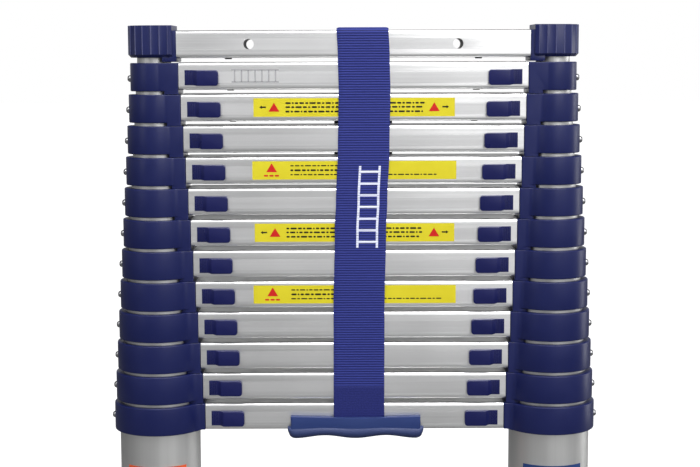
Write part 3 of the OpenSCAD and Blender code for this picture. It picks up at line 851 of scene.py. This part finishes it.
def screws():
    dome, low = dome_screw(), rung_screw()
    seat = 0.3 * MM
    for k in range(1, SECTIONS + 1):
        x = rung_end(k) - RUNG_SCREW_INSET
        z = rung_top(k) - RUNG_HEIGHT
        heads = [twin(low, "head", (x, 0, z), mirrored) for _, mirrored in sides()]
        give(join("rung_screws_" + tag(k), heads), DARK_STEEL, section(k), "screw_steel")
        if k > 1:
            spot = (AXIS + collar_r(k) - seat, 0, rung_middle(k) - SCREW_DROP)
            heads = [twin(dome, "head", spot, mirrored) for _, mirrored in sides()]
            give(join("collar_screws_" + tag(k), heads), SCREW_STEEL, section(k), "screw_steel")
    boot_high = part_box("rubber_feet")[1]
    screw_z = sum(corner[2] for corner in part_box("foot_screws")) / 2
    heads = []
    for _, mirrored in sides():
        heads.append(twin(dome, "head", (boot_high[0] - seat, 0, screw_z), mirrored))
        inner = twin(dome, "head", (boot_high[0] - AXIS - seat, 0, screw_z), True)
        inner.data.transform(Matrix.Translation((AXIS, 0, 0)))
        heads.append(twin(inner, "head", mirror=mirrored))
        bpy.data.objects.remove(inner)
    give(join("foot_screw_heads", heads), SCREW_STEEL, section(SECTIONS), "screw_steel",
        "foot_screws")
    bpy.data.objects.remove(dome)
    bpy.data.objects.remove(low)


screws()

# ---------------------------------------------------------------- labels and prints

def pill(x_low, x_high, z_low, z_high, most=9.0):
    """Outline of a bar with round corners."""
    r = min(x_high - x_low, z_high - z_low, 2 * most) * 0.45
    return (arc(x_low + r, z_low + r, r, math.pi, 1.5 * math.pi, 3)
        + arc(x_high - r, z_low + r, r, 1.5 * math.pi, 2 * math.pi, 3)
        + arc(x_high - r, z_high - r, r, 0, 0.5 * math.pi, 3)
        + arc(x_low + r, z_high - r, r, 0.5 * math.pi, math.pi, 3))


def marks(name, outlines, spot, low, high):
    """Flat shapes, drawn in mm about a spot on a rung's front, as one thin raised print."""
    shapes = []
    for outline in outlines:
        shape = plate(name, [(x * MM, z * MM) for x, z in outline], low, high)
        shape.data.transform(Matrix.Translation((spot[0], FRONT, spot[1]))
            @ Matrix.Rotation(math.pi / 2, 4, "X"))
        shapes.append(shape)
    return join(name, shapes)


def dashes(start, end, z, height, first):
    """A row of word-like dashes that stands in for small print."""
    lengths, row, x, i = (6.1, 3.9, 2.4, 5.2, 1.7, 3.3, 4.6, 2.9), [], start, first
    while x + lengths[i % 8] < end:
        row.append(pill(x, x + lengths[i % 8], z - height / 2, z + height / 2))
        x += lengths[i % 8] + 1.1
        i += 1
    return row


def triangle(x, low, high, half):
    return [(x - half, low), (x + half, low), (x, high)]


def arrow(x, z, way):
    """A small arrow that points along way, -1 or 1."""
    tip, neck, tail = x + way * 3.2, x + way * 0.9, x - way * 3.2
    points = [(tip, z), (neck, z + 1.7), (neck, z + 0.7), (tail, z + 0.7), (tail, z - 0.7),
        (neck, z - 0.7), (neck, z - 1.7)]
    return points if way < 0 else points[::-1]


def rung_label(k, half, arrows):
    """A yellow strip with plain symbols and dashes across the front of a rung."""
    spot = (0.5 * MM, rung_middle(k))
    strip = marks("label_" + tag(k), [pill(-half, half, -9, 9, 0.6)], spot, 0, 0.12 * MM)
    give(strip, YELLOW_VINYL, section(k), "aluminium")
    if arrows:
        red = [triangle(side * (half - 19.9), -4.0, 4.6, 5.3) for side in (-1, 1)]
        dark = [arrow(side * (half - 9), 0.3, side) for side in (-1, 1)]
        for row, z in enumerate((4.2, 0.3, -4.0)):
            dark += dashes(31 - half, half - 29, z, 1.7, 3 * row + k)
    else:
        red = [triangle(18.8 - half, -1.7, 7.0, 5.3)]
        red += [pill(11.2 + 5.3 * i - half, 15.4 + 5.3 * i - half, -6.0, -4.3) for i in range(3)]
        dark = dashes(37 - half, half - 86, 4.5, 1.2, k)
        dark += dashes(37 - half, half - 86, 0.1, 1.8, k + 2)
        dark += dashes(37 - half, half - 14, -4.2, 1.2, k + 5)
    give(marks("label_red_" + tag(k), red, spot, 0.1 * MM, 0.18 * MM), RED_INK, section(k),
        "aluminium")
    give(marks("label_dark_" + tag(k), dark, spot, 0.1 * MM, 0.18 * MM), BLACK_INK, section(k),
        "aluminium")


def ladder_mark(x_low, x_high, z_low, z_high, line, steps):
    """A plain ladder symbol that lies on its side: two rails and its steps."""
    outlines = [pill(x_low, x_high, z, z + line) for z in (z_low, z_high - line)]
    pitch = (x_high - x_low) / steps
    for i in range(steps):
        x = x_low + pitch * (i + 0.5)
        outlines.append(pill(x - line / 2, x + line / 2, z_low + line / 2, z_high - line / 2))
    return outlines


for k, half, arrows in ((3, 97.5, True), (5, 99.2, False), (7, 97.5, True), (9, 99.2, False)):
    rung_label(k, half, arrows)
give(marks("rung_symbol", ladder_mark(-118, -72, -6.5, 6.5, 1.3, 7),
    (0, rung_middle(2)), 0, 0.06 * MM), GREY_INK, section(2), "aluminium")


def tube_wrap(side, material):
    """The label round the front of an outer tube."""
    x, top, low, reach = side * AXIS, 0.449, 0.30, math.radians(46)
    radius = outer_high.y + 0.05 * MM
    name = "tube_label_" + ("left" if side < 0 else "right")
    obj = drum(name, radius, (x, 0, low), (x, 0, top), 96, "NOTHING")
    choose(obj, "FACE", lambda face: abs(math.atan2(centre(face).x - x, -centre(face).y)) > reach)
    bpy.ops.mesh.delete(type="FACE")
    leave(obj)
    apply_modifier(obj, "SOLIDIFY", thickness=0.12 * MM, offset=1)
    return give(shade(obj, 40), material, section(SECTIONS), "aluminium")


tube_wrap(-1, ORANGE_VINYL)
tube_wrap(1, BLUE_VINYL)

# ---------------------------------------------------------------- latches

def button():
    """A right-hand button, with the end of its rung at x = 0 and its pin at z = 0."""
    outer, inner = -BUTTON_INSET, -BUTTON_INSET - BUTTON_LENGTH
    back, step, face = FRONT - 0.3 * MM, FRONT - 1.5 * MM, BUTTON_FACE
    slope_start, slope_end = outer - 8.5 * MM, outer - 12 * MM
    profile = [(outer, back), (inner, back), (inner, face), (slope_end, face),
        (slope_start, step), (outer, step)]
    half = BUTTON_HEIGHT / 2
    obj = plate("button", profile, -half, half)
    round_edges(obj, lambda edge: abs(centre(edge).x - inner) < TINY
        and abs(span(edge).y) > MM, 3 * MM, 5)
    round_edges(obj, lambda edge: abs(centre(edge).y - face) < TINY
        and centre(edge).z > half - TINY and abs(span(edge).x) > 5 * MM, 2.4 * MM, 1)
    choose(obj, "VERT", lambda vert: vert.co.y < step - MM)
    bpy.ops.transform.translate(value=(0, 0, -0.7 * MM))
    leave(obj)
    soften(obj, 0.45 * MM, 3, 30)
    for i in range(4):
        x = outer - (1.8 + 1.7 * i) * MM
        rib = block("rib", (x - 0.35 * MM, step - 0.45 * MM, -half + 1.2 * MM),
            (x + 0.35 * MM, step + 0.4 * MM, half - 1.2 * MM))
        weld(obj, soften(rib, 0.2 * MM, 2))
    stem = block("stem", (outer - STEM_INSET - STEM_LENGTH, back - 0.2 * MM, -STEM_HEIGHT / 2),
        (outer - STEM_INSET, FRONT + 5 * MM, STEM_HEIGHT / 2))
    weld(obj, stem)
    return shade(obj, 30)


def latch_bar():
    """The steel slider bar and locking pin behind a right-hand button."""
    inner = -BUTTON_INSET - BUTTON_LENGTH
    tip = BOSS_REACH + TUBE_STEP - 0.3 * MM
    bar = block("latch_bar", (inner, FRONT + 4.8 * MM, -5.5 * MM), (-2 * MM, 5 * MM, 5.5 * MM))
    soften(bar, 0.6 * MM, 2)
    pin = drum("pin", 4 * MM, (-3 * MM, 0, 0), (tip, 0, 0), 32)
    round_edges(pin, lambda edge: centre(edge).x > tip - TINY, 0.8 * MM, 2)
    return shade(weld(bar, pin), 35)


def latches():
    patterns = [("button", button(), BUTTON_NYLON, "latch_plastic"),
        ("latch_bar", latch_bar(), SCREW_STEEL, "screw_steel")]
    for k in range(2, SECTIONS + 1):
        for side, mirrored in sides():
            latch = f"latch_{side}_{tag(k)}"
            for label, pattern, material, slot_name in patterns:
                piece = twin(pattern, f"{label}_{side}_{tag(k)}",
                    (rung_end(k), 0, pin_height(k)), mirrored)
                give(piece, material, latch, slot_name, latch)
    for _, pattern, _, _ in patterns:
        bpy.data.objects.remove(pattern)


latches()

# ---------------------------------------------------------------- strap

strap_low, strap_high = (Vector(corner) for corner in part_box("strap_webbing"))
patch_low, patch_high = (Vector(corner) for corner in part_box("strap_patch"))
STRAP_WIDTH = 50 * MM
STRAP_THICKNESS = 2.0 * MM
STRAP_SPARE = 0.2 * MM
STRAP_Y = -FRONT + 0.4 * MM + STRAP_THICKNESS / 2 + STRAP_SPARE
STRAP_CORNER = 4 * MM
# Sideways place of the strap's middle, in mm, at parts of its height
STRAP_LEAN = [(0.0, 4.4), (0.3, 4.7), (0.5, 6.3), (0.57, 7.5), (0.7, 9.6), (0.84, 10.6),
    (0.93, 9.9), (1.0, 8.8)]


def strap_shift(z):
    """Sideways place of the strap's middle at a height."""
    part = min(max((z - strap_low.z) / (strap_high.z - strap_low.z), 0.0), 1.0)
    for (a, low), (b, high) in zip(STRAP_LEAN, STRAP_LEAN[1:]):
        if part <= b:
            t = (part - a) / (b - a)
            t = t * t * (3 - 2 * t)
            return (low + (high - low) * t) * MM
    return STRAP_LEAN[-1][1] * MM


RUN = strap_high.z - STRAP_THICKNESS / 2 - STRAP_SPARE - STRAP_CORNER - strap_low.z
BEND = STRAP_CORNER * math.pi / 2
TOP_RUN = 2 * (STRAP_Y - STRAP_CORNER)
STRAP_LENGTH = 2 * (RUN + BEND) + TOP_RUN


def strap_path(s):
    """Point and outward direction in Y and Z at a length along the strap, from its front end."""
    bend_z = strap_low.z + RUN
    inner = STRAP_Y - STRAP_CORNER
    if s > STRAP_LENGTH / 2:
        (y, z), (out_y, out_z) = strap_path(STRAP_LENGTH - s)
        return (-y, z), (-out_y, out_z)
    if s <= RUN:
        return (-STRAP_Y, strap_low.z + s), (-1.0, 0.0)
    if s <= RUN + BEND:
        turn = (s - RUN) / STRAP_CORNER
        out = (-math.cos(turn), math.sin(turn))
        return (-inner + STRAP_CORNER * out[0], bend_z + STRAP_CORNER * out[1]), out
    return (-inner + s - RUN - BEND, bend_z + STRAP_CORNER), (0.0, 1.0)


def strap_point(u, s, off):
    """A point of the strap: u across from -0.5 to 0.5, s along, off above its middle plane."""
    (y, z), (out_y, out_z) = strap_path(s)
    x = strap_shift(z) + u * STRAP_WIDTH
    return Vector((x, y + out_y * off, z + out_z * off))


def rib_lift(u, s):
    """Height of the weave above the strap's middle plane."""
    edge = min(1.0, (0.5 - abs(u)) / 0.035)
    crest = abs(math.sin(math.pi * s / RIB_PITCH)) ** 0.7
    return (0.35 + 0.65 * edge) * STRAP_THICKNESS / 2 - 0.42 * MM * (1 - crest)


def woven(name, u_low, u_high, s_low, s_high, across, along, point):
    """A grid with each vertex at point(u, s), u across and s along. Its UV is in metres."""
    bpy.ops.object.select_all(action="DESELECT")
    bpy.ops.mesh.primitive_grid_add(x_subdivisions=across, y_subdivisions=along, size=1)
    obj = bpy.context.active_object
    obj.name = name
    weave = obj.data.uv_layers.active
    weave.name = "weave"
    spots = [(u_low + (u_high - u_low) * (v.co.x + 0.5), s_low + (s_high - s_low) * (v.co.y + 0.5))
        for v in obj.data.vertices]
    for loop in obj.data.loops:
        u, s = spots[loop.vertex_index]
        weave.data[loop.index].uv = (u * STRAP_WIDTH, s)
    for vertex, spot in zip(obj.data.vertices, spots):
        vertex.co = point(*spot)
    return obj


def ribbon(name, u_low, u_high, s_low, s_high, across, along, height):
    """A strip that lies on the strap, with its height given by a function of u and s."""
    return woven(name, u_low, u_high, s_low, s_high, across, along,
        lambda u, s: strap_point(u, s, height(u, s)))


def webbing():
    """The whole strap: ribbed outside and inside, closed at its edges."""
    along = round(STRAP_LENGTH / RIB_PITCH) * 6
    outer = ribbon("strap_outer", -0.5, 0.5, 0, STRAP_LENGTH, 22, along, rib_lift)
    inner = ribbon("strap_inner", -0.5, 0.5, 0, STRAP_LENGTH, 22, along,
        lambda u, s: -rib_lift(u, s))
    inner.data.flip_normals()
    obj = join("strap_ribbed", [outer, inner])
    choose(obj, "EDGE", lambda edge: edge.is_boundary)
    bpy.ops.mesh.bridge_edge_loops()
    leave(obj)
    return shade(obj, 60)


def strap_patch(name, back):
    """The soft patch on one end of the strap."""
    thickness = strap_low.y - patch_low.y
    length = patch_high.z - patch_low.z

    def fluff(u, s):
        edge = min(1.0, (0.5 - abs(u)) / 0.03, (length - s) / (1.5 * MM) + 0.2)
        wave = math.sin(s * 2900) * math.sin(u * 260 + s * 800)
        return STRAP_THICKNESS / 2 + (0.5 * thickness + 0.08 * MM * wave) * max(edge, 0.1)

    obj = ribbon(name, -0.495, 0.495, 0.5 * MM, length, 60, 60, fluff)
    apply_modifier(obj, "SOLIDIFY", thickness=0.5 * MM, offset=-1)
    if back:
        obj.data.transform(Matrix.Rotation(math.pi, 4, "Z")
            @ Matrix.Translation((-2 * strap_shift(strap_low.z), 0, 0)))
    return shade(obj, 60)


strap = webbing()
give(strap, STRAP_CLOTH, section(1), "webbing", "strap_webbing")
patch = join("strap_soft_patch", [strap_patch("front_patch", False),
    strap_patch("back_patch", True)])
give(patch, PATCH_CLOTH, section(1), "patch_fabric", "strap_patch")

def strap_print():
    """A plain ladder symbol printed on the front of the strap, over its ribs."""
    low, high, left, right, line = 0.664, 0.744, -0.08, 0.30, 0.045
    start, end = low - strap_low.z, high - strap_low.z

    def ink(u, s):
        return rib_lift(u, s) + 0.07 * MM

    bars = [ribbon("rail", u, u + line, start, end, 3, 200, ink) for u in (left, right)]
    pitch = (end - start) / 7
    for i in range(7):
        s = start + pitch * (i + 0.5)
        bars.append(ribbon("step", left + line, right, s - 1.1 * MM, s + 1.1 * MM, 12, 6, ink))
    obj = join("strap_symbol", bars)
    apply_modifier(obj, "SOLIDIFY", thickness=0.1 * MM, offset=-1)
    return shade(obj, 60)


give(strap_print(), WHITE_INK, section(1), "webbing")

buckle_low, buckle_high = (Vector(corner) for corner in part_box("strap_buckle"))
BUCKLE_BAR = 8 * MM


def buckle():
    """A three-bar buckle with round edges, on the strap's back run."""
    obj = block("buckle", buckle_low, buckle_high)
    round_edges(obj, lambda edge: abs(span(edge).y) > 2 * MM, 4 * MM, 5)
    rail = 3 * MM
    window = (buckle_high.z - buckle_low.z - 3 * BUCKLE_BAR) / 2
    for z in (buckle_low.z + BUCKLE_BAR, buckle_low.z + 2 * BUCKLE_BAR + window):
        cut(obj, block("window", (buckle_low.x + rail, 0, z),
            (buckle_high.x - rail, 2 * buckle_high.y, z + window)))
    soften(obj, 0.8 * MM, 3, 30)
    return shade(obj, 40)


def buckle_loop():
    """The turn of webbing around the buckle's middle bar."""
    middle = (buckle_low + buckle_high) / 2
    window = (buckle_high.z - buckle_low.z - 3 * BUCKLE_BAR) / 2
    reach = (BUCKLE_BAR + window) / 2
    out = strap_high.y - STRAP_THICKNESS / 2 - STRAP_SPARE
    inner, corner = STRAP_Y + 0.6 * MM, 3 * MM
    rise = out - inner - corner
    length = 2 * rise + math.pi * corner + 2 * (reach - corner)

    def point(u, s):
        side = 1 if s <= length / 2 else -1
        t = s if side > 0 else length - s
        if t < rise:
            y, z, out_y, out_z = inner + t, reach, 0.0, 1.0
        elif t < rise + corner * math.pi / 2:
            turn = (t - rise) / corner
            out_y, out_z = math.sin(turn), math.cos(turn)
            y, z = out - corner + corner * out_y, reach - corner + corner * out_z
        else:
            y, z, out_y, out_z = out, reach - corner - (t - rise - corner * math.pi / 2), 1.0, 0.0
        lift = 0.25 * MM * abs(math.sin(math.pi * s / RIB_PITCH))
        return (middle.x + u * (STRAP_WIDTH - 2 * MM), y + out_y * lift,
            middle.z + side * (z + out_z * lift))

    obj = woven("buckle_loop", -0.5, 0.5, 0, length, 16, 90, point)
    apply_modifier(obj, "SOLIDIFY", thickness=1.6 * MM, offset=0)
    choose(obj, "FACE", lambda face: True)
    bpy.ops.mesh.normals_make_consistent(inside=False)
    leave(obj)
    return shade(obj, 60)


give(buckle(), BLACK_PLASTIC, section(1), "buckle_plastic", "strap_buckle")
give(buckle_loop(), STRAP_CLOTH, section(1), "webbing")

# ---------------------------------------------------------------- carry handle and feet

handle_low, handle_high = (Vector(corner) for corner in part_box("carry_handle"))


def handle():
    """A smooth cupped wall with a textured, finger-shaped grip below it."""
    middle_x = (handle_low.x + handle_high.x) / 2
    half_x = (handle_high.x - handle_low.x) / 2
    under = bottom_low.z
    grip_top = under + 4.5 * MM
    grip_low = handle_low.z
    channel, wall = 26.9 * MM, 4 * MM
    finger_pitch = 60 * MM
    bpy.ops.object.select_all(action="DESELECT")
    bpy.ops.mesh.primitive_cylinder_add(vertices=64, radius=1, depth=2,
        rotation=(0, math.pi / 2, 0))
    grip = bpy.context.active_object
    grip.name = "handle_grip"
    settle(grip)
    choose(grip, "EDGE", lambda edge: abs(span(edge).x) > 1)
    bpy.ops.mesh.subdivide(number_cuts=63)
    leave(grip)
    choose(grip, "FACE", lambda face: abs(face.normal.x) > 0.9)
    bpy.ops.mesh.inset(thickness=0.25)
    bpy.ops.mesh.inset(thickness=0.35)
    leave(grip)
    for vertex in grip.data.vertices:
        x, y, z = vertex.co
        along = x * half_x
        end = min(1.0, (half_x - abs(along)) / (8 * MM))
        swell = math.sqrt(max(0.0, 1 - (1 - end) ** 2))
        low = grip_low + 1.6 * MM * (1 - math.cos(2 * math.pi * along / finger_pitch))
        low += 7 * MM * (1 - swell)
        height = (grip_top - low) / 2
        bulge = channel + wall + 1.5 * MM
        flat = bulge - 4 * MM * (1 - swell) - height
        vertex.co = (middle_x + along,
            y * height + (math.copysign(flat, y) if abs(y) > 0.01 else 0),
            grip_top - height + z * height)
    wall_half = half_x - 3 * MM
    upper = handle_high.z
    shell = block("handle_wall", (middle_x - wall_half, -channel - wall, under - 2 * MM),
        (middle_x + wall_half, channel + wall, upper))
    choose(shell, "EDGE", lambda edge: abs(span(edge).x) > wall_half)
    bpy.ops.mesh.subdivide(number_cuts=40)
    leave(shell)
    round_edges(shell, lambda edge: abs(span(edge).z) > 5 * MM
        and abs(abs(centre(edge).x - middle_x) - wall_half) < 0.1 * MM, 1.5 * MM, 3)
    for vertex in shell.data.vertices:
        if vertex.co.z > upper - TINY:
            part = (vertex.co.x - middle_x) / wall_half
            vertex.co.z -= 1.1 * MM * (1 - part * part)
    near = -FRONT + 0.5 * MM
    cut(grip, block("channel", (-1, -channel, under), (1, channel, under + 1)))
    cut(shell, block("channel", (-1, -near, under), (1, near, under + 1)))
    strap_x = strap_shift(strap_low.z)
    reach = STRAP_WIDTH / 2 + MM
    cut(shell, block("strap_room", (strap_x - reach, -channel, under),
        (strap_x + reach, channel, under + 1)))
    soften(shell, 0.9 * MM, 3, 40)
    shade(grip, 40)
    shade(shell, 40)
    return grip, shell


grip, shell = handle()
give(grip, GRIP_TEXTURE_AND_SHEEN, section(SECTIONS), "handle_plastic", "carry_handle")
give(shell, GRIP_PLASTIC, section(SECTIONS), "handle_plastic", "carry_handle")


def boots():
    """Rubber boots with ribbed sides, a rolled top rim and a grooved tread."""
    low, high = (Vector(corner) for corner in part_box("rubber_feet"))
    radius = high.y
    obj = drum("boots", radius, (AXIS, 0, low.z), (AXIS, 0, high.z), 96)
    round_edges(obj, lambda edge: abs(span(edge).z) < TINY, 1.2 * MM, 3)
    for i in range(4):
        z = low.z + (10 + 6 * i) * MM
        ring = drum("ring", radius + MM, (AXIS, 0, z), (AXIS, 0, z + 2 * MM))
        cut(ring, drum("core", radius - 1.2 * MM, (AXIS, 0, z - MM), (AXIS, 0, z + 3 * MM)))
        cut(obj, ring)
    cut(obj, drum("bore", outer_high.y + 0.1 * MM, (AXIS, 0, low.z + 5 * MM),
        (AXIS, 0, high.z + MM)))
    grooves = [block("groove", (AXIS - radius, i * 11 * MM - 1.5 * MM, low.z - MM),
        (AXIS + radius, i * 11 * MM + 1.5 * MM, low.z + 2 * MM)) for i in range(-2, 3)]
    for groove in grooves:
        cut(obj, groove)
    return shade(obj, 35)


give(pair(boots(), "ribbed_boots"), BOOT_RUBBER, section(SECTIONS), "foot_rubber", "rubber_feet")

# CAD nodes that stay as they are, with finished materials
for name, material in (("tube_plugs_01", PLUG_PLASTIC), ("handle_screws", DARK_STEEL)):
    stays = frame["nodes"][name]
    stays.data.materials.clear()
    stays.data.materials.append(material)
